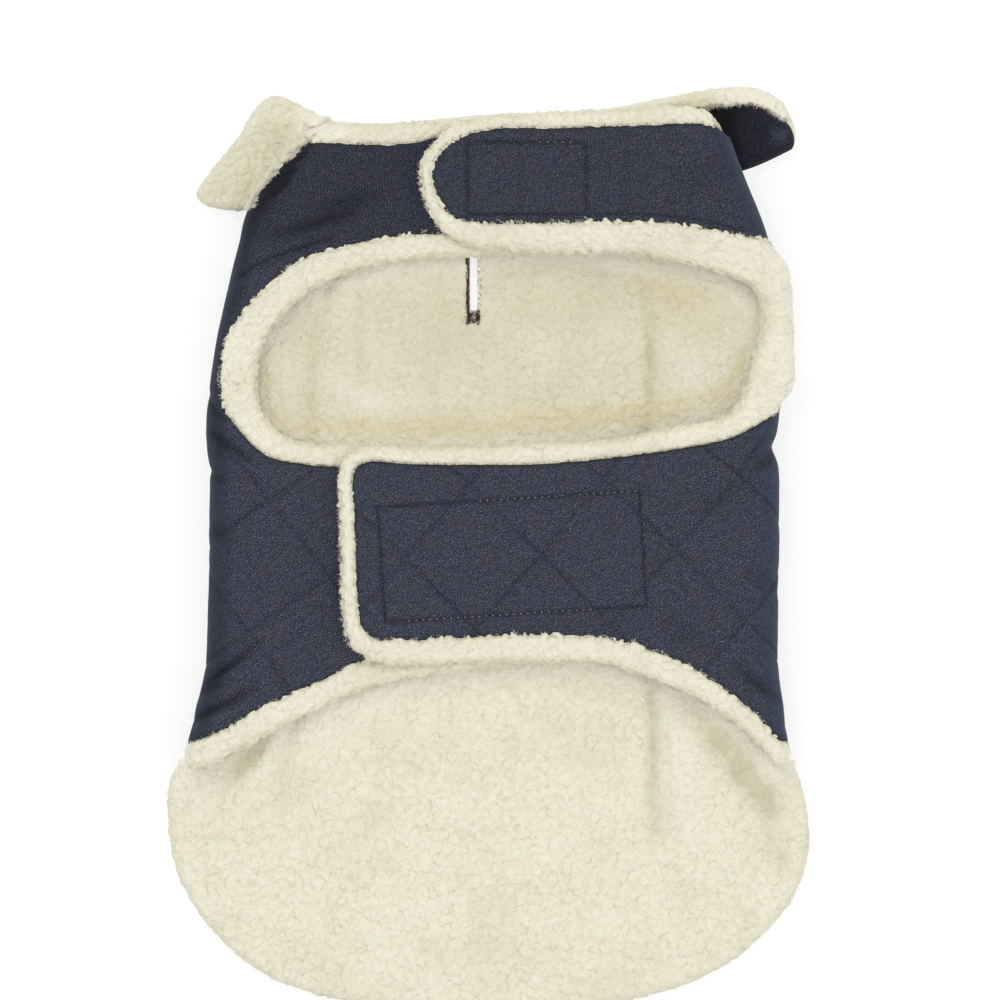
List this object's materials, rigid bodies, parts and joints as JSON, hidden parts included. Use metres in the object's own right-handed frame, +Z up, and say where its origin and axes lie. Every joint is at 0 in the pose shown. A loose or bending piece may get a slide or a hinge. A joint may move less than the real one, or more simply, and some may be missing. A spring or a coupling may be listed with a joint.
{
  "type": "dog denim jacket",
  "caption": "Quilted denim dog jacket with a pile lining, laid out flat with its belly side up, its straps lapped over and closed, and its collar folded out under the neck.",
  "frame": {"origin": "middle of the jacket's bounding box, on the surface that it lies on", "axes": "+Y from the tail to the neck, +X to the viewer's right, +Z up out of the surface"},
  "size_m": [0.3054, 0.4407, 0.0315],
  "materials": {
    "denim": "quilted indigo denim, matt",
    "pile": "cream curly pile",
    "tape": "dark hook and loop tape",
    "welt": "stitched binding"
  },
  "bodies": {
    "root": {"back_shell": "denim", "back_lining": "pile", "left_front_shell": "denim", "left_front_lining": "pile", "right_front_shell": "denim", "right_front_lining": "pile", "collar_top": "pile", "collar_under": "denim", "neck_loop_pad": "tape", "neck_hook_pad": "tape", "belly_loop_pad": "tape", "belly_hook_pad": "tape", "leash_slot_binding": "welt"}
  },
  "joints": []
}
